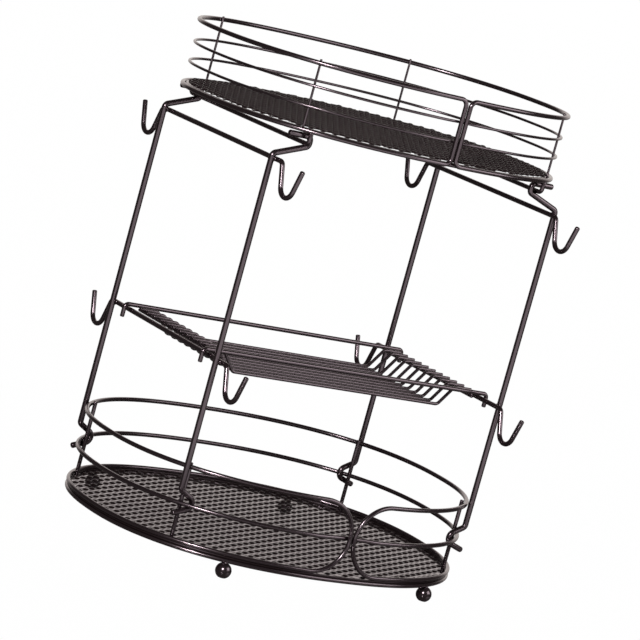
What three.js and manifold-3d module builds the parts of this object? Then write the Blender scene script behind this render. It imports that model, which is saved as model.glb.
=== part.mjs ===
// Counter rack of coated steel wire: two oval baskets, two side frames with mug hooks, and a lift-out shelf.
// Millimetres, +Z up, front towards -Y, origin on the ground under the middle of the rack.
import * as THREE from 'three';
import { mergeGeometries, mergeVertices } from 'three/addons/utils/BufferGeometryUtils.js';
import Module from 'manifold-3d';

const wasm = await Module();
wasm.setup();

// Wire sizes
const POST_R = 2.5;
const HOOK_R = 2.1;
const RAIL_R = 1.9;
const TRAY_R = 1.4;
const THIN_R = 1.15;
const BOTTOM_STRUT_R = 1.75;
const TOP_STRUT_R = 1.0;
const GAP = 0.3;
const SIDE_GAP = 0.9;

// Outline of each basket: an oval |x/a|^n + |y/b|^n = 1
const BOTTOM_OVAL = { a: 168.6, b: 136.3, n: 2.28 };
const TOP_OVAL = { a: 161.5, b: 128.8, n: 2.32 };
const RING_STEPS = 40;

// Heights of the bottom basket
const FOOT_R = 6.4;
const FOOT_Z = 5.4;
const FOOT_X = 100;
const BOTTOM_RING_Z = 14.0;
const FLOOR_T = 0.8;
const BOTTOM_RUN_Z = BOTTOM_RING_Z + 2 * RAIL_R + 2 * GAP + FLOOR_T;
const BOTTOM_MID_Z = 49.1;
const BOTTOM_RAIL_Z = 79.8;
const ROUND_END_X = 2.15;
const MID_DIP = 2 * RAIL_R + GAP;
const MID_DIP_HALF_WIDTH = 34;
const BOTTOM_STRUT_Y = 87;

// Heights of the top basket
const TOP_RUN_Z = 364.1;
const THIN_RING_Z = [382.9, 399.4];
const TOP_RAIL_Z = 418.0;
const TOP_BASE_INSET = 2 * RAIL_R + SIDE_GAP;
const SQUARE_END_X = 2.35;
const SQUARE_END_R = 5.5;
const THIN_INSET = RAIL_R - THIN_R;
const THIN_DIP = THIN_R + RAIL_R + GAP - THIN_INSET;
const THIN_DIP_HALF_WIDTH = 16;
const TOP_STRUT_X = { back_left: 102, front_left: 123.4, back_right: 97, front_right: 131 };
const STRUT_NUB = 1.1;
const UNDER_X = 117;
const UNDER_Z = 353.7;
const UNDER_BEND = 4;

// Side frames
const POST_X = 142.3;
const POST_Y = 90;
const BAR_X = POST_X - POST_R - GAP - HOOK_R;
const UPPER_BAR_Z = 336.4;
const MIDDLE_BAR_Z = 168.4;
const ARM_CORNER_Z = 340.5;
const CATCH_X = 111.5;
const CATCH_LOW_Z = 351.2;
const CATCH_HIGH_Z = 359.2;
const CATCH_TIP_X = 132.5;
const CATCH_BEND = 3.7;
const CLASP_SHOULDER_Z = 61.0;
const CLASP_NOSE_X = 120.8;
const CLASP_NOSE_Z = 48.9;
const CLASP_TIP_X = 145.2;
const CLASP_TIP_Z = 40.7;
const CLASP_BEND = 5.7;
const POST_BEND = 3.8;

// Mug hooks: a U of radius HOOK_U_R between two legs that lean outwards
const HOOK_Y = 116;
const HOOK_U_R = 10;
const HOOK_DROP = 15.3;
const HOOK_LEAN = THREE.MathUtils.degToRad(20);
const HOOK_TIP_DROP = 0.6;
const HOOK_SHOULDER = 4.5;

// Shelf
const SHELF_Z = MIDDLE_BAR_Z + HOOK_R + RAIL_R + GAP;
const SHELF_RAIL_Y = 68;
const SHELF_END_X = 142.9;
const SHELF_END_Z = 161.3;
const SHELF_BEND = 3.6;
const TRAY_COUNT = 11;
const TRAY_END_X = 134;
const TRAY_TOP_X = 116.5;
const TRAY_FLOOR_X = 103.5;
const TRAY_FLOOR_Z = 155.3;
const TRAY_BEND = 5;
const CROSS_X = 127;
const CROSS_Z = SHELF_Z - RAIL_R - GAP - TRAY_R;
const TRAY_Z = CROSS_Z + 2 * TRAY_R + GAP;
const CROSS_END_Y = 70;

// Openings of the floors
const OPENING_LONG = 35;
const OPENING_SHORT = 19;
const OPENING_SHARE = 0.7;
const FLOOR_MARGIN = 5;

const rack = new THREE.Group();
rack.name = 'wire_rack';

function coat(color, roughness, metalness) {
  return new THREE.MeshStandardMaterial({ color, roughness, metalness });
}

function add(name, geometry, material) {
  const mesh = new THREE.Mesh(geometry, material);
  mesh.name = name;
  rack.add(mesh);
}

const wireCoat = () => coat(0x2b2628, 0.32, 0.35);
const floorCoat = () => coat(0x352f30, 0.42, 0.35);

// Point on an oval, found from the angle round its middle
function ovalAt(oval, angle) {
  const c = Math.cos(angle);
  const s = Math.sin(angle);
  const k = Math.abs(c / oval.a) ** oval.n + Math.abs(s / oval.b) ** oval.n;
  const r = k ** (-1 / oval.n);
  return new THREE.Vector2(r * c, r * s);
}

// Distance of an oval from its long axis at a given x
function ovalY(oval, x) {
  return oval.b * (1 - Math.abs(x / oval.a) ** oval.n) ** (1 / oval.n);
}

// Distance of an oval from its short axis at a given y
function ovalX(oval, y) {
  return oval.a * (1 - Math.abs(y / oval.b) ** oval.n) ** (1 / oval.n);
}

// Outward direction of an oval at a point on it
function ovalNormal(oval, p) {
  const nx = Math.sign(p.x) * Math.abs(p.x / oval.a) ** (oval.n - 1) / oval.a;
  const ny = Math.sign(p.y) * Math.abs(p.y / oval.b) ** (oval.n - 1) / oval.b;
  return new THREE.Vector3(nx, ny, 0).normalize();
}

// Round wire along a list of points; side(i) is a direction square to the wire at point i
function wire(points, side, radius, sides, closed) {
  const count = points.length;
  const positions = [];
  const index = [];
  for (let i = 0; i < count; i += 1) {
    const before = points[closed ? (i + count - 1) % count : Math.max(i - 1, 0)];
    const after = points[closed ? (i + 1) % count : Math.min(i + 1, count - 1)];
    const along = after.clone().sub(before).normalize();
    const n = side(i).clone();
    n.addScaledVector(along, -n.dot(along)).normalize();
    const b = along.clone().cross(n);
    for (let k = 0; k < sides; k += 1) {
      const turn = (2 * Math.PI * k) / sides;
      const p = points[i].clone();
      p.addScaledVector(n, radius * Math.cos(turn));
      p.addScaledVector(b, radius * Math.sin(turn));
      positions.push(p.x, p.y, p.z);
    }
  }
  const spans = closed ? count : count - 1;
  for (let i = 0; i < spans; i += 1) {
    const j = (i + 1) % count;
    for (let k = 0; k < sides; k += 1) {
      const m = (k + 1) % sides;
      index.push(i * sides + k, i * sides + m, j * sides + m);
      index.push(i * sides + k, j * sides + m, j * sides + k);
    }
  }
  if (!closed) {
    const last = (count - 1) * sides;
    for (let k = 1; k < sides - 1; k += 1) {
      index.push(0, k + 1, k);
      index.push(last, last + k, last + k + 1);
    }
  }
  const geometry = new THREE.BufferGeometry();
  geometry.setAttribute('position', new THREE.Float32BufferAttribute(positions, 3));
  geometry.setIndex(index);
  return geometry;
}

// Path through corner points, each inner corner rounded to its own radius
function bent(corners, radii, stepDegrees) {
  const path = [corners[0].clone()];
  for (let i = 1; i < corners.length - 1; i += 1) {
    const p = corners[i];
    const u = corners[i - 1].clone().sub(p).normalize();
    const v = corners[i + 1].clone().sub(p).normalize();
    const inside = u.angleTo(v);
    const turn = Math.PI - inside;
    const reach = radii[i - 1] / Math.tan(inside / 2);
    const middle = u.clone().add(v).normalize();
    const centre = p.clone().addScaledVector(middle, radii[i - 1] / Math.sin(inside / 2));
    const start = p.clone().addScaledVector(u, reach).sub(centre);
    const axis = u.clone().cross(v).normalize();
    const steps = Math.max(2, Math.ceil(THREE.MathUtils.radToDeg(turn) / stepDegrees));
    for (let k = 0; k <= steps; k += 1) {
      const arm = start.clone().applyAxisAngle(axis, (-turn * k) / steps);
      path.push(centre.clone().add(arm));
    }
  }
  path.push(corners[corners.length - 1].clone());
  return path;
}

function bentWire(corners, radii, normal, radius, sides, stepDegrees) {
  return wire(bent(corners, radii, stepDegrees), () => normal, radius, sides, false);
}

// Closed ring on an oval, inset by a distance, with a shallow inward step at the front middle
function ring(oval, z, radius, inset, dip, dipHalfWidth) {
  const points = [];
  const normals = [];
  const angles = [];
  for (let i = 0; i < RING_STEPS; i += 1) {
    angles.push(-Math.PI / 2 + (2 * Math.PI * i) / RING_STEPS);
  }
  if (dip > 0) {
    for (const x of [-0.9, -0.45, 0.45, 0.9]) {
      angles.push(Math.atan2(-oval.b, x * dipHalfWidth));
    }
    const turn = (a) => (a + 2.5 * Math.PI) % (2 * Math.PI);
    angles.sort((a, b) => turn(a) - turn(b));
  }
  for (const angle of angles) {
    const p = ovalAt(oval, angle);
    const n = ovalNormal(oval, p);
    const near = p.y < 0 ? Math.max(0, 1 - Math.abs(p.x) / dipHalfWidth) : 0;
    const step = dip * near * near * (3 - 2 * near);
    points.push(new THREE.Vector3(p.x, p.y, z).addScaledVector(n, -inset - step));
    normals.push(n);
  }
  return wire(points, (i) => normals[i], radius, 6, true);
}

// One turned end seen from the front: a quarter bend, a straight stretch if there is room, a quarter bend
function turnedEnd(endX, endR, fromZ, toZ) {
  const way = Math.sign(toZ - fromZ);
  const steps = endR > 10 ? 6 : 3;
  const straight = Math.abs(toZ - fromZ) - 2 * endR > 0.01;
  const quarter = (k) => ((k / steps) * Math.PI) / 2;
  const points = [];
  for (let k = 1; k <= steps; k += 1) {
    const t = quarter(k);
    points.push([endX + endR * (1 - Math.sin(t)), fromZ + way * endR * (1 - Math.cos(t))]);
  }
  for (let k = straight ? 0 : 1; k < steps; k += 1) {
    const t = quarter(k);
    points.push([endX + endR * (1 - Math.cos(t)), toZ - way * endR * (1 - Math.sin(t))]);
  }
  return points;
}

// Rails of one basket: an upper and a lower rail joined at the front by two turned ends back to back
function addRails(basket, oval, lowZ, highZ, endX, endR, endName) {
  const railX = endX + endR + 1;
  const point = (x, z) => new THREE.Vector3(x, -ovalY(oval, x), z);
  const along = (points) => wire(points, (i) => ovalNormal(oval, points[i]), RAIL_R, 6, false);
  const from = Math.atan2(-ovalY(oval, railX), railX);
  const sweep = Math.PI - 2 * from;
  for (const [level, z] of [['upper', highZ], ['lower', lowZ]]) {
    const points = [];
    for (let i = 0; i <= RING_STEPS; i += 1) {
      const p = ovalAt(oval, from + (sweep * i) / RING_STEPS);
      points.push(new THREE.Vector3(p.x, p.y, z));
    }
    add(`${basket}_${level}_rail`, along(points), wireCoat());
  }
  for (const [place, sx] of [['left', -1], ['right', 1]]) {
    const path = turnedEnd(endX, endR, lowZ, highZ);
    const points = [[railX - GAP, lowZ], [endX + endR, lowZ], ...path, [endX + endR, highZ], [railX - GAP, highZ]];
    add(`${basket}_${endName}_${place}`, along(points.map(([x, z]) => point(sx * x, z))), wireCoat());
  }
}

// Closed solid made from a geometry, and back
function solid(geometry) {
  const plain = geometry.clone();
  plain.deleteAttribute('normal');
  plain.deleteAttribute('uv');
  const merged = mergeVertices(plain, 1e-4);
  const vertProperties = new Float32Array(merged.attributes.position.array);
  const triVerts = new Uint32Array(merged.index.array);
  return new wasm.Manifold(new wasm.Mesh({ numProp: 3, vertProperties, triVerts }));
}

function surface(body) {
  const mesh = body.getMesh();
  const geometry = new THREE.BufferGeometry();
  geometry.setAttribute('position', new THREE.Float32BufferAttribute(mesh.vertProperties, 3));
  geometry.setIndex(new THREE.Uint32BufferAttribute(mesh.triVerts, 1));
  return geometry;
}

// Flat slab with a straight-sided outline
function slab(outline, depth, z) {
  const shape = new THREE.Shape(outline.map(([x, y]) => new THREE.Vector2(x, y)));
  const plate = new THREE.ExtrudeGeometry(shape, { depth, bevelEnabled: false, steps: 1 });
  plate.translate(0, 0, z);
  return plate;
}

// Thin oval floor with rows of diamond openings
function floorPlate(oval, z) {
  const edge = { a: oval.a - GAP, b: oval.b - GAP, n: oval.n };
  const outline = [];
  for (let i = 0; i < RING_STEPS; i += 1) {
    const p = ovalAt(edge, (2 * Math.PI * i) / RING_STEPS);
    outline.push([p.x, p.y]);
  }
  const halfLong = (OPENING_LONG / 2) * OPENING_SHARE;
  const halfShort = (OPENING_SHORT / 2) * OPENING_SHARE;
  const within = (x, y) => {
    const a = oval.a - FLOOR_MARGIN;
    const b = oval.b - FLOOR_MARGIN;
    return Math.abs(x / a) ** oval.n + Math.abs(y / b) ** oval.n < 1;
  };
  const rows = Math.ceil((2 * oval.b) / OPENING_SHORT);
  const columns = Math.ceil(oval.a / OPENING_LONG);
  const openings = [];
  for (let row = -rows; row <= rows; row += 1) {
    for (let column = -columns; column <= columns; column += 1) {
      const x = (column + (row % 2 === 0 ? 0 : 0.5)) * OPENING_LONG;
      const y = (row * OPENING_SHORT) / 2;
      if (within(Math.abs(x) + halfLong, y) && within(x, Math.abs(y) + halfShort)) {
        const diamond = [[x + halfLong, y], [x, y + halfShort], [x - halfLong, y], [x, y - halfShort]];
        openings.push(slab(diamond, FLOOR_T + 2, z - 1));
      }
    }
  }
  const plate = solid(slab(outline, FLOOR_T, z));
  return surface(plate.subtract(solid(mergeGeometries(openings))));
}

// Straight upright just inside the rails, beside a point of the oval
function upright(oval, x, y, fromZ, toZ, radius) {
  const at = new THREE.Vector3(x, y, 0);
  at.addScaledVector(ovalNormal(oval, at), -(RAIL_R + radius + SIDE_GAP));
  const ends = [at.clone().setZ(fromZ), at.clone().setZ(toZ)];
  return wire(ends, () => new THREE.Vector3(1, 0, 0), radius, 6, false);
}

const corners = [
  ['back_left', -1, 1],
  ['front_left', -1, -1],
  ['back_right', 1, 1],
  ['front_right', 1, -1],
];

// Bottom basket
const bottomEndR = (BOTTOM_RAIL_Z - BOTTOM_RUN_Z) / 2;
addRails('bottom', BOTTOM_OVAL, BOTTOM_RUN_Z, BOTTOM_RAIL_Z, ROUND_END_X, bottomEndR, 'round_end');
add('bottom_mid_rail', ring(BOTTOM_OVAL, BOTTOM_MID_Z, RAIL_R, 0, MID_DIP, MID_DIP_HALF_WIDTH), wireCoat());
add('bottom_base_ring', ring(BOTTOM_OVAL, BOTTOM_RING_Z, RAIL_R, 0, 0, 1), wireCoat());
const bottomFloorZ = BOTTOM_RING_Z + RAIL_R + GAP;
add('bottom_floor', floorPlate(BOTTOM_OVAL, bottomFloorZ), floorCoat());
for (const [place, sx, sy] of corners) {
  const y = sy * BOTTOM_STRUT_Y;
  const x = sx * ovalX(BOTTOM_OVAL, y);
  const top = BOTTOM_RAIL_Z + RAIL_R + STRUT_NUB;
  const post = upright(BOTTOM_OVAL, x, y, bottomFloorZ + FLOOR_T + GAP, top, BOTTOM_STRUT_R);
  add(`bottom_upright_${place}`, post, wireCoat());
}

// Ball feet under the base ring, each with a small flat to stand on
for (const [place, sx, sy] of corners) {
  const flat = Math.asin(FOOT_Z / FOOT_R);
  const profile = [new THREE.Vector2(0, 0)];
  for (let k = 0; k <= 6; k += 1) {
    const turn = -flat + ((flat + Math.PI / 2) * k) / 6;
    const r = k === 6 ? 0 : FOOT_R * Math.cos(turn);
    profile.push(new THREE.Vector2(r, k === 0 ? 0 : FOOT_Z + FOOT_R * Math.sin(turn)));
  }
  const ball = new THREE.LatheGeometry(profile, 12);
  ball.rotateX(Math.PI / 2);
  ball.translate(sx * FOOT_X, sy * ovalY(BOTTOM_OVAL, FOOT_X), 0);
  add(`foot_${place}`, ball, wireCoat());
}

// Top basket
addRails('top', TOP_OVAL, TOP_RUN_Z, TOP_RAIL_Z, SQUARE_END_X, SQUARE_END_R, 'square_end');
THIN_RING_Z.forEach((z, i) => {
  const name = i === 0 ? 'top_thin_ring_lower' : 'top_thin_ring_upper';
  add(name, ring(TOP_OVAL, z, THIN_R, THIN_INSET, THIN_DIP, THIN_DIP_HALF_WIDTH), wireCoat());
});
add('top_base_ring', ring(TOP_OVAL, TOP_RUN_Z, RAIL_R, TOP_BASE_INSET, 0, 1), wireCoat());
const topFloorZ = TOP_RUN_Z + RAIL_R + GAP;
const topFloorInset = TOP_BASE_INSET + GAP;
const topFloorOval = { a: TOP_OVAL.a - topFloorInset, b: TOP_OVAL.b - topFloorInset, n: TOP_OVAL.n };
add('top_floor', floorPlate(topFloorOval, topFloorZ), floorCoat());
for (const [place, sx, sy] of corners) {
  const x = sx * TOP_STRUT_X[place];
  const y = sy * ovalY(TOP_OVAL, x);
  const top = TOP_RAIL_Z + RAIL_R + STRUT_NUB;
  const post = upright(TOP_OVAL, x, y, topFloorZ, top, TOP_STRUT_R);
  add(`top_upright_${place}`, post, wireCoat());
}
for (const [place, sx] of [['left', -1], ['right', 1]]) {
  const endY = ovalY(TOP_OVAL, UNDER_X);
  const topZ = TOP_RUN_Z - RAIL_R - GAP;
  const path = [[-endY, topZ], [-endY, UNDER_Z], [endY, UNDER_Z], [endY, topZ]];
  const points = path.map(([y, z]) => new THREE.Vector3(sx * UNDER_X, y, z));
  const side = new THREE.Vector3(1, 0, 0);
  add(`top_under_bar_${place}`, bentWire(points, [UNDER_BEND, UNDER_BEND], side, RAIL_R, 6, 30), wireCoat());
}

// Side frame posts: a clasp round the mid rail below and a catch round the under-bar above
for (const [place, sx, sy] of corners) {
  const path = [
    [CATCH_TIP_X, CATCH_HIGH_Z],
    [CATCH_X, CATCH_HIGH_Z],
    [CATCH_X, CATCH_LOW_Z],
    [POST_X, ARM_CORNER_Z],
    [POST_X, CLASP_SHOULDER_Z],
    [CLASP_NOSE_X, CLASP_NOSE_Z],
    [CLASP_TIP_X, CLASP_TIP_Z],
  ];
  const points = path.map(([x, z]) => new THREE.Vector3(sx * x, sy * POST_Y, z));
  const radii = [CATCH_BEND, CATCH_BEND, POST_BEND, POST_BEND, CLASP_BEND];
  add(`post_${place}`, bentWire(points, radii, new THREE.Vector3(0, 1, 0), POST_R, 6, 24), wireCoat());
}

// Hook bars: each runs inside the two posts of one side and ends in two mug hooks
for (const [level, z] of [['upper', UPPER_BAR_Z], ['middle', MIDDLE_BAR_Z]]) {
  for (const [place, sx] of [['left', -1], ['right', 1]]) {
    const slope = Math.tan(HOOK_LEAN);
    const low = HOOK_DROP + HOOK_U_R / Math.sin(HOOK_LEAN);
    const tipY = HOOK_Y + (low - HOOK_TIP_DROP) * slope;
    const shoulderY = HOOK_Y - low * slope;
    const half = [[tipY, z - HOOK_TIP_DROP], [HOOK_Y, z - low], [shoulderY, z]];
    const path = [...half.map(([y, h]) => [-y, h]), ...half.reverse()];
    const points = path.map(([y, h]) => new THREE.Vector3(sx * BAR_X, y, h));
    const radii = [HOOK_U_R, HOOK_SHOULDER, HOOK_SHOULDER, HOOK_U_R];
    const side = new THREE.Vector3(1, 0, 0);
    add(`hook_bar_${level}_${place}`, bentWire(points, radii, side, HOOK_R, 6, 24), wireCoat());
  }
}

// Shelf rails, resting on the middle hook bars with their ends turned down outside them
for (const [place, sy] of [['front', -1], ['back', 1]]) {
  const path = [[-SHELF_END_X, SHELF_END_Z], [-SHELF_END_X, SHELF_Z], [SHELF_END_X, SHELF_Z],
    [SHELF_END_X, SHELF_END_Z]];
  const points = path.map(([x, z]) => new THREE.Vector3(x, sy * SHELF_RAIL_Y, z));
  const side = new THREE.Vector3(0, 1, 0);
  add(`shelf_rail_${place}`, bentWire(points, [SHELF_BEND, SHELF_BEND], side, RAIL_R, 6, 30), wireCoat());
}

// Tray wires, evenly spaced between the shelf rails, dropping to form a shallow tray
for (let i = 1; i <= TRAY_COUNT; i += 1) {
  const y = -SHELF_RAIL_Y + (2 * SHELF_RAIL_Y * i) / (TRAY_COUNT + 1);
  const half = [[TRAY_END_X, TRAY_Z], [TRAY_TOP_X, TRAY_Z], [TRAY_FLOOR_X, TRAY_FLOOR_Z]];
  const path = [...half.map(([x, z]) => [-x, z]), ...half.reverse()];
  const points = path.map(([x, z]) => new THREE.Vector3(x, y, z));
  const radii = [TRAY_BEND, TRAY_BEND, TRAY_BEND, TRAY_BEND];
  const name = `shelf_tray_wire_${String(i).padStart(2, '0')}`;
  add(name, bentWire(points, radii, new THREE.Vector3(0, 1, 0), TRAY_R, 6, 30), wireCoat());
}

// Cross wires under the ends of the tray wires
for (const [place, sx] of [['left', -1], ['right', 1]]) {
  const ends = [-CROSS_END_Y, CROSS_END_Y].map((y) => new THREE.Vector3(sx * CROSS_X, y, CROSS_Z));
  const cross = wire(ends, () => new THREE.Vector3(0, 0, 1), TRAY_R, 6, false);
  add(`shelf_cross_wire_${place}`, cross, wireCoat());
}

export default rack;
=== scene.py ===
import math

import bmesh
import bpy
from mathutils import Matrix, Vector


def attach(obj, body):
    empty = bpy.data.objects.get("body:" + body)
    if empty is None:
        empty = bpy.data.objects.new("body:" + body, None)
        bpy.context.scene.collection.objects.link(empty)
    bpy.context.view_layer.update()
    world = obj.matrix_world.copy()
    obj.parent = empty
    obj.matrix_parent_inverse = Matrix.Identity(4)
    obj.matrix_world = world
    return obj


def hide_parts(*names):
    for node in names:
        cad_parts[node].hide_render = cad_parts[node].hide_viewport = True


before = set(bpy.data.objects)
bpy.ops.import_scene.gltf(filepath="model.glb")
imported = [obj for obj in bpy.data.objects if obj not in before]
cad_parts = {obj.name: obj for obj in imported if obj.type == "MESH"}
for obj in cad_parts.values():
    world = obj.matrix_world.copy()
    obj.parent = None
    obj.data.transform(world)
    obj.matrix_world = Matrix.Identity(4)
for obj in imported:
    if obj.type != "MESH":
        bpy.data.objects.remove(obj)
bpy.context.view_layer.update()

# Counter rack of coated steel wire: smooth wires, stretched-mesh floors, ball feet and weld beads.
# Sizes are in millimetres and are brought to metres when a piece is finished. The studio is in metres.
MM = 0.001

# Sides and ends of the rack with their signs, its four corners, and the signs that mirror a point
SIDES = {"left": -1, "right": 1}
ENDS = {"front": -1, "back": 1}
CORNERS = [(f"{end}_{side}", sx, sy) for end, sy in ENDS.items() for side, sx in SIDES.items()]
MIRROR_X = Vector((-1, 1, 1))
MIRROR_Y = Vector((1, -1, 1))

# Wires: radii, how welded wires lie together, and how finely they are drawn
POST_R = 2.5
HOOK_R = 2.1
RAIL_R = 1.9
TRAY_R = 1.4
THIN_R = 1.15
BOTTOM_STRUT_R = 1.75
TOP_STRUT_R = 1.0
STRUT_NUB = 1.1
GAP = 0.3
WELD_BITE = 0.12
WIRE_SIDES = 16
WIRE_END_ROUNDING = 0.45
BEND_STEP = math.radians(6)
RING_STEPS = 240
QUARTER_TURN_STEPS = 15

# Outline of each basket: (a, b, n) of the oval |x/a|^n + |y/b|^n = 1
BOTTOM_OVAL = (168.6, 136.3, 2.28)
TOP_OVAL = (161.5, 128.8, 2.32)

# Bottom basket
BOTTOM_RING_Z = 14.0
FLOOR_THICK = 0.8
SHEET_GAP = 2 * GAP + FLOOR_THICK
BOTTOM_RUN_Z = BOTTOM_RING_Z + 2 * RAIL_R + SHEET_GAP
BOTTOM_SHEET_Z = (BOTTOM_RING_Z + BOTTOM_RUN_Z) / 2
BOTTOM_MID_Z = 49.1
BOTTOM_RAIL_Z = 79.8
ROUND_END_X = 2.15
ROUND_END_R = (BOTTOM_RAIL_Z - BOTTOM_RUN_Z) / 2
MID_DIP = 2 * RAIL_R + GAP
MID_DIP_HALF_WIDTH = 34.0
BOTTOM_STRUT_Y = 87.0

# Ball feet, with the weld collar as (radius, height)
FOOT_R = 6.7
FOOT_Z = 5.8
FOOT_X = 100.0
FOOT_NECK = math.radians(72)
FOOT_COLLAR = [(2.0, 12.45), (2.15, 12.9), (2.3, 13.3), (0, 13.6)]
FOOT_STEPS = 22
FOOT_SIDES = 32
MERGE_WITHIN = 0.001

# Top basket
TOP_RUN_Z = 364.1
THIN_RING_Z = {"lower": 382.9, "upper": 399.4}
TOP_RAIL_Z = 418.0
TOP_BASE_INSET = 2 * RAIL_R + GAP
TOP_SHEET_LIFT = 0.5
TOP_SHEET_Z = TOP_RUN_Z + RAIL_R + TOP_SHEET_LIFT
SQUARE_END_X = 2.35
SQUARE_END_R = 5.5
THIN_INSET = RAIL_R - THIN_R
THIN_DIP = THIN_R + RAIL_R + GAP - THIN_INSET
THIN_DIP_HALF_WIDTH = 16.0
TOP_STRUT_X = {"back_left": 102.0, "front_left": 123.4, "back_right": 97.0, "front_right": 131.0}
TOP_STRUT_Z = TOP_RUN_Z + RAIL_R / 2
UNDER_X = 117.0
UNDER_Z = 353.7
UNDER_END_DROP = 0.76
UNDER_END_Z = TOP_RUN_Z - UNDER_END_DROP
UNDER_BEND = 4.0

# Side frames, with the nose and tip of the clasp as (x, z)
POST_X = 142.3
POST_Y = 90.0
BAR_X = POST_X - POST_R - GAP - HOOK_R
BAR_Z = {"upper": 336.4, "middle": 168.4}
ARM_CORNER_Z = 340.5
CATCH_X = 111.5
CATCH_LOW_Z = 351.2
CATCH_HIGH_Z = 359.2
CATCH_TIP_X = 132.5
CATCH_BEND = 3.7
CLASP_SHOULDER_Z = 61.0
CLASP_NOSE = (120.8, 48.9)
CLASP_TIP = (145.2, 40.7)
CLASP_BEND = 5.7
POST_BEND = 3.8

# Mug hooks
HOOK_Y = 116.0
HOOK_U_R = 10.0
HOOK_DROP = 15.3
HOOK_LEAN = math.radians(20)
HOOK_TIP_DROP = 0.6
HOOK_SHOULDER = 4.5

# Shelf
SHELF_Z = BAR_Z["middle"] + HOOK_R + RAIL_R + GAP
SHELF_RAIL_Y = 68.0
SHELF_END_X = 142.9
SHELF_END_Z = 161.3
SHELF_BEND = 3.6
TRAY_COUNT = 11
TRAY_YS = [-SHELF_RAIL_Y + 2 * SHELF_RAIL_Y * i / (TRAY_COUNT + 1) for i in range(1, TRAY_COUNT + 1)]
TRAY_END_X = 134.0
TRAY_TOP_X = 116.5
TRAY_FLOOR_X = 103.5
TRAY_FLOOR_Z = 155.3
TRAY_BEND = 5.0
CROSS_X = 127.0
CROSS_Z = SHELF_Z - RAIL_R - GAP - TRAY_R
TRAY_Z = CROSS_Z + 2 * TRAY_R + GAP
CROSS_END_Y = 70.0

# Stretched mesh of the floors: reach in bonds to each side, knuckles as half sizes in x, y and z
MESH_LONG = 17.5
MESH_SHORT = 9.48
MESH_REACH = 24
MESH_MARGIN = 0.4
BOND_HALF = 2.1
STRAND_WIDTH = 1.1
STRAND_THICK = 0.42
STRAND_TILT = {"bottom": math.radians(-8), "top": math.radians(21)}
SHORTEST_STRAND = 1.0
KNUCKLE = {"bottom": (3.1, 1.6, 1.2), "top": (3.1, 1.6, 1.1)}
KNUCKLE_MARGIN = {"bottom": 4.0, "top": 1.5}
SHEET_EDGE_R = 0.85
SHEET_EDGE_INSET = 0.3

# Weld beads, as half sizes in x, y and z
POST_BEAD = (0.8, 2.6, 2.4)
POST_BEAD_SHIFT = 0.2
RAIL_BEAD = (1.6, 1.7, 0.7)
TRAY_BEAD = (1.3, 1.3, 0.6)

# Coats: tint of the sheen, scale of the patches, and how far the gloss varies
COAT_SHEEN = (1.0, 0.8, 0.88, 1)
COAT_PATCHES = 38.0
GLOSS_SPREAD = 0.04

# Camera of the photograph
CAMERA_AT = Vector((-1.52974, -2.26820, 0.61026))
CAMERA_AIM = Vector((0.00086, -0.00488, 0.19999))
CAMERA_ROLL = math.radians(15.4764)
CAMERA_LENS = 185.537
CAMERA_SENSOR = 36.0

# Soft lamps: the way there from the middle of the rack, how far off, width and height, watts
RACK_MIDDLE = Vector((0, 0, 0.2))
SOFTBOXES = {
    "key_softbox": (Vector((-0.66, -0.64, 0.39)), 2.2, (0.36, 0.36), 34),
    "side_softbox": (Vector((0.60, -0.69, 0.40)), 1.5, (1.1, 0.9), 7.5),
}

# Floor, and the patch of it that lies behind the bottom mesh in the photograph's view, where a grey shadow
# of the rack is painted and mixed with the floor's real shading
WHITE = (1, 1, 1, 1)
FLOOR_HALF_SIZE = 9.0
FLOOR_TONES = ((0.175, 0.165, 0.16, 1), (0.195, 0.185, 0.18, 1))
FLOOR_PATCHES = 3.0
# Grey of the painted shadow that the eye sees through the openings of the bottom mesh
PAINTED_SHADOW_TONE = (0.375, 0.33, 0.328, 1)
SHADE_GROWTH = CAMERA_AT.z / (CAMERA_AT.z - BOTTOM_SHEET_Z * MM)
SHADE_AT = Vector((CAMERA_AT.x, CAMERA_AT.y, 0)) * (1 - SHADE_GROWTH)
SHADE_SIZE = (BOTTOM_OVAL[0] * MM * SHADE_GROWTH, BOTTOM_OVAL[1] * MM * SHADE_GROWTH, 1)
SHADE_EDGE = (0.955, 1.04)
SHADED_GLOW = 0.8
OPEN_GLOW = 0.995

# White that the wires mirror: floor in front of the rack, and a backdrop behind it
FRONT_WAY = (-0.24, -0.97, 0)
FRONT_SPREAD = (0.5, 0.76)
FRONT_START = (0.3, 0.6)
BACKDROP_WAY = (0.560, 0.828, 0)
BACKDROP_SPREAD = (0.74, 0.92)
BACKDROP = (1.0, 0.94, 0.89, 1)
DIM_ROOM = (0.068, 0.058, 0.058, 1)


# Outlines and paths

def oval_at(oval, angle):
    a, b, n = oval
    c, s = math.cos(angle), math.sin(angle)
    r = (abs(c / a) ** n + abs(s / b) ** n) ** (-1 / n)
    return Vector((r * c, r * s, 0))


def oval_y(oval, x):
    a, b, n = oval
    return b * (1 - abs(x / a) ** n) ** (1 / n)


def oval_x(oval, y):
    a, b, n = oval
    return a * (1 - abs(y / b) ** n) ** (1 / n)


def oval_out(oval, p):
    """Outward direction of an oval at a point on it."""
    a, b, n = oval
    nx = math.copysign(abs(p.x / a) ** (n - 1) / a, p.x)
    ny = math.copysign(abs(p.y / b) ** (n - 1) / b, p.y)
    return Vector((nx, ny, 0)).normalized()


def oval_depth(oval, p):
    """More than 0 inside an oval, 0 on it, less outside."""
    a, b, n = oval
    return 1 - abs(p.x / a) ** n - abs(p.y / b) ** n


def shrunk(oval, inset):
    a, b, n = oval
    return (a - inset, b - inset, n)


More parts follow.
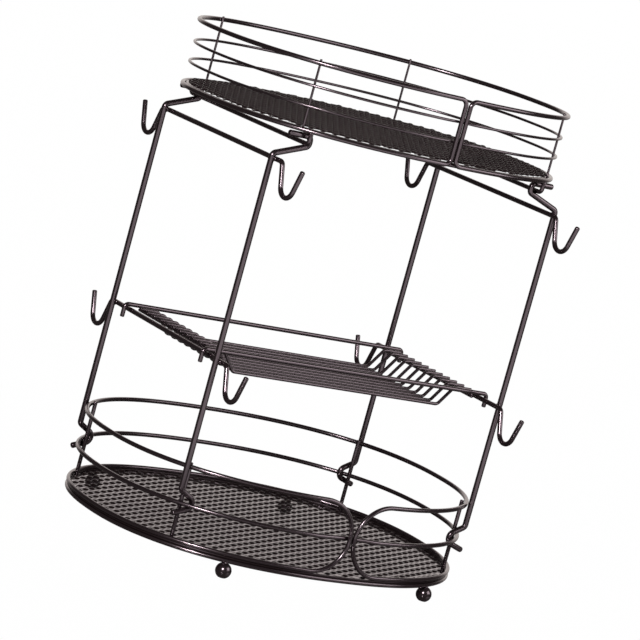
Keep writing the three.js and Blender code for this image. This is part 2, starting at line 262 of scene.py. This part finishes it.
def ring_path(oval, z, inset=0.0, dip=0.0, dip_half_width=1.0):
    """Closed path on an oval, with a shallow inward step at the front middle."""
    path = []
    for i in range(RING_STEPS):
        p = oval_at(oval, -math.pi / 2 + 2 * math.pi * i / RING_STEPS)
        near = max(0.0, 1 - abs(p.x) / dip_half_width) if p.y < 0 else 0.0
        step = dip * near * near * (3 - 2 * near)
        path.append(p - oval_out(oval, p) * (inset + step) + Vector((0, 0, z)))
    return path


def loop_path(oval, low_z, high_z, end_x, end_r):
    """Closed path of a rail loop: round the top, down one turned end, back round below, up the other."""
    start_x = end_x + end_r
    start = math.atan2(-oval_y(oval, start_x), start_x)
    sweep = math.pi - 2 * start
    run = [oval_at(oval, start + sweep * i / RING_STEPS) for i in range(RING_STEPS + 1)]
    turn = []
    for k in range(1, QUARTER_TURN_STEPS + 1):
        t = math.pi / 2 * k / QUARTER_TURN_STEPS
        turn.append((end_x + end_r * (1 - math.sin(t)), end_r * (1 - math.cos(t))))
    # A round end has no straight part, so the point where its quarter turns meet is left out
    if math.isclose(high_z - low_z, 2 * end_r):
        turn.pop()
    down = [(x, high_z - d) for x, d in turn] + [(x, low_z + d) for x, d in reversed(turn)]
    path = [p + Vector((0, 0, high_z)) for p in run]
    path += [Vector((-x, -oval_y(oval, x), z)) for x, z in down]
    path += [p + Vector((0, 0, low_z)) for p in reversed(run)]
    path += [Vector((x, -oval_y(oval, x), z)) for x, z in reversed(down)]
    return path


def bent_path(corners, radii):
    """Path through corner points, each inner corner rounded to its own radius."""
    path = [corners[0]]
    for before, p, after, radius in zip(corners, corners[1:], corners[2:], radii):
        u, v = (before - p).normalized(), (after - p).normalized()
        inside = u.angle(v)
        turn = math.pi - inside
        centre = p + (u + v).normalized() * (radius / math.sin(inside / 2))
        arm = p + u * (radius / math.tan(inside / 2)) - centre
        axis = v.cross(u).normalized()
        steps = max(3, math.ceil(turn / BEND_STEP))
        for k in range(steps + 1):
            path.append(centre + Matrix.Rotation(turn * k / steps, 3, axis) @ arm)
    path.append(corners[-1])
    return path


def mirrored(half, signs):
    """Corner list of a wire whose two halves mirror each other."""
    return [p * signs for p in half] + list(reversed(half))


# Making pieces

def verts_of(geom):
    return [g for g in geom if isinstance(g, bmesh.types.BMVert)]


def open_edges_of(geom):
    return [g for g in geom if isinstance(g, bmesh.types.BMEdge) and g.is_boundary]


def wire(path, radius, closed=False):
    """Round wire: a circle carried along a path, then joined up or given rounded ends."""
    bm = bmesh.new()
    count = len(path)
    ring = bmesh.ops.create_circle(bm, segments=WIRE_SIDES, radius=radius)["verts"]
    first = edges = bm.edges[:]
    heading = Vector((0, 0, 1))
    place = Vector((0, 0, 0))
    for i, p in enumerate(path):
        if i:
            geom = bmesh.ops.extrude_edge_only(bm, edges=edges)["geom"]
            ring, edges = verts_of(geom), open_edges_of(geom)
        before = path[i - 1] if i or closed else p
        after = path[(i + 1) % count] if i + 1 < count or closed else p
        ahead = (after - before).normalized()
        turn = heading.rotation_difference(ahead).to_matrix()
        bmesh.ops.rotate(bm, verts=ring, cent=place, matrix=turn)
        bmesh.ops.translate(bm, verts=ring, vec=p - place)
        heading, place = ahead, p
    rims = first + edges
    if closed:
        bmesh.ops.bridge_loops(bm, edges=rims)
    else:
        bmesh.ops.edgeloop_fill(bm, edges=first)
        bmesh.ops.edgeloop_fill(bm, edges=edges)
        bmesh.ops.bevel(bm, geom=rims, offset=radius * WIRE_END_ROUNDING, segments=4, profile=0.5,
                        affect="EDGES", material=-1)
    return bm


def set_down(bm, size, at):
    """Bring a unit shape to its size and place."""
    bmesh.ops.scale(bm, vec=size, verts=bm.verts)
    bmesh.ops.translate(bm, verts=bm.verts, vec=at)
    return bm


def joined(parts):
    """One mesh from several."""
    whole = bmesh.new()
    for part in parts:
        store = bpy.data.meshes.new("store")
        part.to_mesh(store)
        part.free()
        whole.from_mesh(store)
        bpy.data.meshes.remove(store)
    return whole


def finish_piece(name, bm, body, finish, nodes=()):
    """Turn a mesh into a named piece that rides on a body and stands for its solids."""
    bmesh.ops.recalc_face_normals(bm, faces=bm.faces)
    bmesh.ops.scale(bm, vec=(MM, MM, MM), verts=bm.verts)
    for face in bm.faces:
        face.smooth = True
    mesh = bpy.data.meshes.new(name)
    bm.to_mesh(mesh)
    bm.free()
    mesh.materials.append(finish)
    piece = bpy.data.objects.new(name, mesh)
    bpy.context.scene.collection.objects.link(piece)
    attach(piece, body)
    if nodes:
        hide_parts(*nodes)
    return piece


def wire_piece(name, path, radius, body, nodes, closed=False):
    """Coated wire along a path."""
    finish_piece(name, wire(path, radius, closed), body, wire_coat, nodes)


# Finishes

class Field:
    """A value that changes over a surface, for use in plain expressions."""

    def __init__(self, maker, socket):
        self.maker = maker
        self.socket = socket

    def _math(self, operation, other):
        return self.maker.node("ShaderNodeMath", {"operation": operation}, {0: self, 1: other})

    def __add__(self, other):
        return self._math("ADD", other)

    def __mul__(self, other):
        return self._math("MULTIPLY", other)

    def __pow__(self, other):
        return self._math("POWER", other)

    __radd__ = __add__
    __rmul__ = __mul__


class Finish:
    """Node tree of one material or of the world."""

    def __init__(self, owner):
        owner.use_nodes = True
        self.owner = owner
        self.tree = owner.node_tree
        self.tree.nodes.clear()

    def node(self, kind, settings=None, inputs=None, out=0):
        """New node: its settings first, then values or links for its sockets."""
        node = self.tree.nodes.new(kind)
        for key, value in (settings or {}).items():
            setattr(node, key, value)
        for key, value in (inputs or {}).items():
            if isinstance(value, Field):
                self.tree.links.new(value.socket, node.inputs[key])
            else:
                node.inputs[key].default_value = value
        return Field(self, node.outputs[out]) if node.outputs else node

    def vector(self, operation, *vectors, out="Vector"):
        return self.node("ShaderNodeVectorMath", {"operation": operation}, dict(enumerate(vectors)), out)

    def noise(self, scale, detail=2.0):
        place = self.node("ShaderNodeTexCoord", out="Object")
        return self.node("ShaderNodeTexNoise", None, {"Vector": place, "Scale": scale, "Detail": detail})

    def step(self, value, low, high):
        """Smooth step from 0 at one value to 1 at another."""
        return self.node("ShaderNodeMapRange", {"interpolation_type": "SMOOTHSTEP"},
                         {"Value": value, "From Min": low, "From Max": high, "To Min": 0.0, "To Max": 1.0})

    def blend(self, amount, a, b):
        return self.node("ShaderNodeMix", {"data_type": "RGBA"}, {0: amount, 6: a, 7: b}, out=2)


def coat_finish(name, dark, warm, roughness, ior):
    """Baked-on gloss coat: slow warm patches and uneven gloss over a very dark brown."""
    f = Finish(bpy.data.materials.new(name))
    patches = f.noise(COAT_PATCHES, detail=3.0)
    shader = f.node("ShaderNodeBsdfPrincipled", None, {
        "Base Color": f.blend(patches, dark, warm),
        "Roughness": roughness - GLOSS_SPREAD / 2 + GLOSS_SPREAD * patches,
        "Metallic": 0.0,
        "IOR": ior,
        "Specular Tint": COAT_SHEEN,
    })
    f.node("ShaderNodeOutputMaterial", None, {"Surface": shader})
    return f.owner


wire_coat = coat_finish(
    "dark_bronze_coat", dark=(0.005, 0.0032, 0.0036, 1), warm=(0.0095, 0.0062, 0.0069, 1),
    roughness=0.2, ior=2.1)
mesh_coat = coat_finish(
    "dark_bronze_mesh_coat", dark=(0.010, 0.006, 0.0061, 1), warm=(0.0175, 0.0108, 0.0109, 1),
    roughness=0.32, ior=1.42)


# Mesh floors

def strand_path(row, tilt):
    """Zigzag of one strand of the mesh from bond to bond, wide enough for any basket."""
    lift = STRAND_WIDTH / 2 * math.sin(tilt)
    tuck = STRAND_WIDTH / 2 * math.cos(tilt)
    low = Vector((0, row * MESH_SHORT / 2 + tuck, lift))
    high = Vector((0, (row + 1) * MESH_SHORT / 2 - tuck, -lift))
    path = []
    for k in range(-MESH_REACH, MESH_REACH + 1):
        bond = low if (k + row) % 2 == 0 else high
        for step in (-BOND_HALF, BOND_HALF):
            path.append(bond + Vector((k * MESH_LONG / 2 + step, 0, 0)))
    return path


def inside_runs(path, oval):
    """Stretches of a path that lie inside an oval, each ending on it."""
    runs, run = [], []
    for p, q in zip(path, path[1:]):
        p_depth, q_depth = oval_depth(oval, p), oval_depth(oval, q)
        if p_depth > 0 and not run:
            run.append(p)
        if p_depth * q_depth < 0:
            run.append(p.lerp(q, p_depth / (p_depth - q_depth)))
        if q_depth > 0:
            run.append(q)
        elif run:
            runs.append(run)
            run = []
    return runs


def strand(path, tilt):
    """Flat tilted ribbon carried along a path without turning."""
    bm = bmesh.new()
    across = Vector((0, math.cos(tilt), math.sin(tilt))) * STRAND_WIDTH / 2
    through = Vector((0, -math.sin(tilt), math.cos(tilt))) * STRAND_THICK / 2
    signs = ((-1, -1), (1, -1), (1, 1), (-1, 1))
    face = bm.faces.new([bm.verts.new(path[0] + across * s + through * t) for s, t in signs])
    for p, q in zip(path, path[1:]):
        geom = bmesh.ops.extrude_face_region(bm, geom=[face])["geom"]
        bmesh.ops.translate(bm, verts=verts_of(geom), vec=q - p)
        face = next(g for g in geom if isinstance(g, bmesh.types.BMFace))
    return bm


def knuckle(at, size):
    """Thick rounded bond where two strands of the mesh meet."""
    bm = bmesh.new()
    bmesh.ops.create_uvsphere(bm, u_segments=8, v_segments=5, radius=1.0)
    return set_down(bm, size, at)


def mesh_floor(basket, oval, z):
    """Stretched-mesh floor: rows of strands that meet at their bonds, cut to the oval."""
    tilt = STRAND_TILT[basket]
    strand_edge = shrunk(oval, MESH_MARGIN)
    knuckle_edge = shrunk(oval, KNUCKLE_MARGIN[basket])
    rows = math.ceil(2 * oval[1] / MESH_SHORT) + 1
    parts = []
    for row in range(-rows, rows):
        for run in inside_runs(strand_path(row, tilt), strand_edge):
            if (run[-1] - run[0]).length > SHORTEST_STRAND:
                parts.append(strand([p + Vector((0, 0, z)) for p in run], tilt))
        for k in range(-MESH_REACH, MESH_REACH + 1):
            at = Vector((k * MESH_LONG / 2, row * MESH_SHORT / 2, z))
            if (k + row) % 2 == 0 and oval_depth(knuckle_edge, at) > 0:
                parts.append(knuckle(at, KNUCKLE[basket]))
    floor = finish_piece(f"{basket}_mesh_floor", joined(parts), "rack", mesh_coat,
                         [f"{basket}_floor"])
    floor.data.shade_flat()


# Baskets

def rail_loop(basket, path, end_form):
    """Upper rail and lower run of a basket, one wire with two ends turned back to back at the front."""
    nodes = [f"{basket}_upper_rail", f"{basket}_lower_rail"]
    nodes += [f"{basket}_{end_form}_end_{side}" for side in SIDES]
    wire_piece(f"{basket}_loop_wire", path, RAIL_R, "rack", nodes, closed=True)


def bottom_basket():
    loop = loop_path(BOTTOM_OVAL, BOTTOM_RUN_Z, BOTTOM_RAIL_Z, ROUND_END_X, ROUND_END_R)
    rail_loop("bottom", loop, "round")
    mid = ring_path(BOTTOM_OVAL, BOTTOM_MID_Z, 0, MID_DIP, MID_DIP_HALF_WIDTH)
    wire_piece("bottom_mid_wire", mid, RAIL_R, "rack", ["bottom_mid_rail"], closed=True)
    base = ring_path(BOTTOM_OVAL, BOTTOM_RING_Z)
    wire_piece("bottom_base_wire", base, RAIL_R, "rack", ["bottom_base_ring"], closed=True)
    mesh_floor("bottom", BOTTOM_OVAL, BOTTOM_SHEET_Z)
    edge = wire(ring_path(BOTTOM_OVAL, BOTTOM_SHEET_Z, SHEET_EDGE_INSET), SHEET_EDGE_R, closed=True)
    finish_piece("bottom_sheet_edge", edge, "rack", mesh_coat)


def top_basket():
    loop = loop_path(TOP_OVAL, TOP_RUN_Z, TOP_RAIL_Z, SQUARE_END_X, SQUARE_END_R)
    rail_loop("top", loop, "square")
    for level, z in THIN_RING_Z.items():
        ring = ring_path(TOP_OVAL, z, THIN_INSET, THIN_DIP, THIN_DIP_HALF_WIDTH)
        wire_piece(f"top_thin_wire_{level}", ring, THIN_R, "rack", [f"top_thin_ring_{level}"], closed=True)
    base = ring_path(TOP_OVAL, TOP_RUN_Z, TOP_BASE_INSET)
    wire_piece("top_base_wire", base, RAIL_R, "rack", ["top_base_ring"], closed=True)
    mesh_floor("top", shrunk(TOP_OVAL, TOP_BASE_INSET), TOP_SHEET_Z)


def upright(basket, place, oval, at, from_z, rail_z, radius):
    """Straight wire inside the rails of a basket, its tip a little above the upper rail."""
    at = at - oval_out(oval, at) * (RAIL_R + radius - WELD_BITE)
    path = [at + Vector((0, 0, z)) for z in (from_z, rail_z + RAIL_R + STRUT_NUB)]
    wire_piece(f"{basket}_upright_wire_{place}", path, radius, "rack", [f"{basket}_upright_{place}"])


def foot(place, x, y):
    """Ball foot with a flat to stand on and a collar of weld up to the ring, spun from its outline."""
    bm = bmesh.new()
    flat = math.asin(FOOT_Z / FOOT_R)
    outline = [(0, 0)]
    for k in range(FOOT_STEPS + 1):
        t = -flat + (flat + FOOT_NECK) * k / FOOT_STEPS
        outline.append((FOOT_R * math.cos(t), max(0.0, FOOT_Z + FOOT_R * math.sin(t))))
    points = [bm.verts.new((r, 0, z)) for r, z in outline + FOOT_COLLAR]
    edges = [bm.edges.new(pair) for pair in zip(points, points[1:])]
    bmesh.ops.spin(bm, geom=points + edges, cent=(0, 0, 0), axis=(0, 0, 1), dvec=(0, 0, 0),
                   angle=2 * math.pi, steps=FOOT_SIDES, use_merge=True)
    bmesh.ops.remove_doubles(bm, verts=bm.verts, dist=MERGE_WITHIN)
    bmesh.ops.translate(bm, verts=bm.verts, vec=(x, y, 0))
    finish_piece(f"ball_foot_{place}", bm, "rack", wire_coat, [f"foot_{place}"])


def uprights_and_feet():
    for place, sx, sy in CORNERS:
        y = sy * BOTTOM_STRUT_Y
        at = Vector((sx * oval_x(BOTTOM_OVAL, y), y, 0))
        upright("bottom", place, BOTTOM_OVAL, at, BOTTOM_SHEET_Z, BOTTOM_RAIL_Z, BOTTOM_STRUT_R)
        x = sx * TOP_STRUT_X[place]
        at = Vector((x, sy * oval_y(TOP_OVAL, x), 0))
        upright("top", place, TOP_OVAL, at, TOP_STRUT_Z, TOP_RAIL_Z, TOP_STRUT_R)
        foot(place, sx * FOOT_X, sy * oval_y(BOTTOM_OVAL, FOOT_X))


def under_bars():
    """Bars under the top basket, front to back, with upturned ends."""
    end_y = oval_y(TOP_OVAL, UNDER_X)
    corners = ((-end_y, UNDER_END_Z), (-end_y, UNDER_Z), (end_y, UNDER_Z), (end_y, UNDER_END_Z))
    for side, sx in SIDES.items():
        path = bent_path([Vector((sx * UNDER_X, y, z)) for y, z in corners], [UNDER_BEND] * 2)
        wire_piece(f"under_bar_wire_{side}", path, RAIL_R, "rack", [f"top_under_bar_{side}"])


# Side frames

def posts():
    """Posts with a catch bent round the under-bar above and a clasp bent round the mid rail below."""
    corners = (
        (CATCH_TIP_X, CATCH_HIGH_Z), (CATCH_X, CATCH_HIGH_Z), (CATCH_X, CATCH_LOW_Z),
        (POST_X, ARM_CORNER_Z), (POST_X, CLASP_SHOULDER_Z), CLASP_NOSE, CLASP_TIP)
    radii = [CATCH_BEND, CATCH_BEND, POST_BEND, POST_BEND, CLASP_BEND]
    for place, sx, sy in CORNERS:
        path = bent_path([Vector((sx * x, sy * POST_Y, z)) for x, z in corners], radii)
        wire_piece(f"post_wire_{place}", path, POST_R, "rack", [f"post_{place}"])


def hook_bars():
    """Bars across the side frames, each end bent down and up again into a mug hook."""
    slope = math.tan(HOOK_LEAN)
    low = HOOK_DROP + HOOK_U_R / math.sin(HOOK_LEAN)
    tip_y = HOOK_Y + (low - HOOK_TIP_DROP) * slope
    half = ((tip_y, -HOOK_TIP_DROP), (HOOK_Y, -low), (HOOK_Y - low * slope, 0))
    for level, bar_z in BAR_Z.items():
        for side, sx in SIDES.items():
            corners = mirrored([Vector((sx * BAR_X, y, bar_z + z)) for y, z in half], MIRROR_Y)
            path = bent_path(corners, [HOOK_U_R, HOOK_SHOULDER, HOOK_SHOULDER, HOOK_U_R])
            wire_piece(f"hook_bar_wire_{level}_{side}", path, HOOK_R, "rack", [f"hook_bar_{level}_{side}"])


# Shelf

def shelf():
    for end, sy in ENDS.items():
        half = [Vector((SHELF_END_X, sy * SHELF_RAIL_Y, z)) for z in (SHELF_END_Z, SHELF_Z)]
        path = bent_path(mirrored(half, MIRROR_X), [SHELF_BEND] * 2)
        wire_piece(f"shelf_rail_wire_{end}", path, RAIL_R, "shelf", [f"shelf_rail_{end}"])
    tray_half = ((TRAY_END_X, TRAY_Z), (TRAY_TOP_X, TRAY_Z), (TRAY_FLOOR_X, TRAY_FLOOR_Z))
    for i, y in enumerate(TRAY_YS, 1):
        path = bent_path(mirrored([Vector((x, y, z)) for x, z in tray_half], MIRROR_X), [TRAY_BEND] * 4)
        wire_piece(f"tray_wire_{i:02d}", path, TRAY_R, "shelf", [f"shelf_tray_wire_{i:02d}"])
    for side, sx in SIDES.items():
        path = [Vector((sx * CROSS_X, y, CROSS_Z)) for y in (-CROSS_END_Y, CROSS_END_Y)]
        wire_piece(f"cross_wire_{side}", path, TRAY_R, "shelf", [f"shelf_cross_wire_{side}"])


# Weld beads

def bead(at, size):
    """Small flattened bead of weld."""
    bm = bmesh.new()
    bmesh.ops.create_icosphere(bm, subdivisions=2, radius=1.0)
    return set_down(bm, size, at)


def weld_beads():
    post_x = (BAR_X + POST_X) / 2 - POST_BEAD_SHIFT
    rail_z = SHELF_Z - RAIL_R
    tray_z = CROSS_Z + TRAY_R + GAP / 2
    on_posts = [bead((sx * post_x, sy * POST_Y, z), POST_BEAD)
                for _, sx, sy in CORNERS for z in BAR_Z.values()]
    on_rails = [bead((sx * CROSS_X, sy * SHELF_RAIL_Y, rail_z), RAIL_BEAD) for _, sx, sy in CORNERS]
    on_tray = [bead((sx * CROSS_X, y, tray_z), TRAY_BEAD) for sx in SIDES.values() for y in TRAY_YS]
    finish_piece("frame_weld_beads", joined(on_posts), "rack", wire_coat)
    finish_piece("shelf_weld_beads", joined(on_rails + on_tray), "shelf", wire_coat)


# Studio

def floor_finish():
    """Pale gloss that is white to the eye, except in an oval where a grey shadow of the rack is painted
    and mixed with the floor's real shading.
    """
    f = Finish(bpy.data.materials.new("pale_floor"))
    place = f.node("ShaderNodeTexCoord", out="Object")
    shade = f.node("ShaderNodeMapping", {"vector_type": "TEXTURE"},
                   {"Vector": place, "Location": SHADE_AT, "Scale": SHADE_SIZE})
    shade = f.vector("ABSOLUTE", shade)
    along, across = (f.node("ShaderNodeSeparateXYZ", None, {0: shade}, out=axis) for axis in "XY")
    outside_painted_shadow = f.step(along ** BOTTOM_OVAL[2] + across ** BOTTOM_OVAL[2], *SHADE_EDGE)
    ahead = f.vector("DOT_PRODUCT", f.vector("NORMALIZE", place), FRONT_WAY, out="Value")
    away = f.vector("LENGTH", place, out="Value")
    eye = f.node("ShaderNodeLightPath", out="Is Camera Ray")
    gleam = f.node("ShaderNodeLightPath", out="Is Glossy Ray")
    gloss = f.node("ShaderNodeBsdfPrincipled", None, {
        "Base Color": f.blend(f.noise(FLOOR_PATCHES), *FLOOR_TONES), "Roughness": 0.12, "IOR": 1.5})
    # Glow for the eye: white, with the grey painted shadow inside the oval
    white = f.node("ShaderNodeEmission", None, {
        "Color": f.blend(outside_painted_shadow, PAINTED_SHADOW_TONE, WHITE), "Strength": 1.0})
    # Inside the painted shadow the glow is weaker, so part of the floor's real shading shows there too
    seen = eye * (SHADED_GLOW + (OPEN_GLOW - SHADED_GLOW) * outside_painted_shadow)
    mirrored_front = gleam * f.step(ahead, *FRONT_SPREAD) * f.step(away, *FRONT_START)
    surface = f.node("ShaderNodeMixShader", None, {0: seen + mirrored_front, 1: gloss, 2: white})
    f.node("ShaderNodeOutputMaterial", None, {"Surface": surface})
    f.owner.cycles.emission_sampling = "NONE"
    return f.owner


def studio_floor():
    bm = bmesh.new()
    bmesh.ops.create_grid(bm, x_segments=8, y_segments=8, size=FLOOR_HALF_SIZE)
    mesh = bpy.data.meshes.new("studio_floor")
    bm.to_mesh(mesh)
    bm.free()
    mesh.materials.append(floor_finish())
    floor = bpy.data.objects.new("studio_floor", mesh)
    bpy.context.scene.collection.objects.link(floor)


def studio_sky():
    """Dim room with a white backdrop behind the rack, all white to the eye."""
    world = bpy.data.worlds.new("studio_sky")
    bpy.context.scene.world = world
    f = Finish(world)
    way = f.node("ShaderNodeTexCoord", out="Generated")
    behind = f.vector("DOT_PRODUCT", way, BACKDROP_WAY, out="Value")
    eye = f.node("ShaderNodeLightPath", out="Is Camera Ray")
    room = f.blend(f.step(behind, *BACKDROP_SPREAD), DIM_ROOM, BACKDROP)
    sky = f.node("ShaderNodeBackground", None, {"Color": f.blend(eye, room, WHITE), "Strength": 1.0})
    f.node("ShaderNodeOutputWorld", None, {"Surface": sky})


def softbox(name, way, distance, size, watts):
    """Wide soft lamp that faces the middle of the rack."""
    data = bpy.data.lights.new(name, "AREA")
    data.shape = "RECTANGLE"
    data.size, data.size_y = size
    data.energy = watts
    lamp = bpy.data.objects.new(name, data)
    lamp.location = RACK_MIDDLE + way * distance
    lamp.rotation_euler = (RACK_MIDDLE - lamp.location).to_track_quat("-Z", "Y").to_euler()
    bpy.context.scene.collection.objects.link(lamp)


def photo_camera():
    data = bpy.data.cameras.new("photo_camera")
    data.lens = CAMERA_LENS
    data.sensor_width = CAMERA_SENSOR
    camera = bpy.data.objects.new("photo_camera", data)
    camera.location = CAMERA_AT
    look = (CAMERA_AIM - CAMERA_AT).to_track_quat("-Z", "Y")
    camera.rotation_euler = (look.to_matrix() @ Matrix.Rotation(CAMERA_ROLL, 3, "Z")).to_euler()
    bpy.context.scene.collection.objects.link(camera)
    bpy.context.scene.camera = camera


# The rack, then its studio

bottom_basket()
top_basket()
uprights_and_feet()
under_bars()
posts()
hook_bars()
shelf()
weld_beads()

studio_floor()
studio_sky()
for name, settings in SOFTBOXES.items():
    softbox(name, *settings)
photo_camera()
bpy.context.scene.view_settings.view_transform = "Standard"
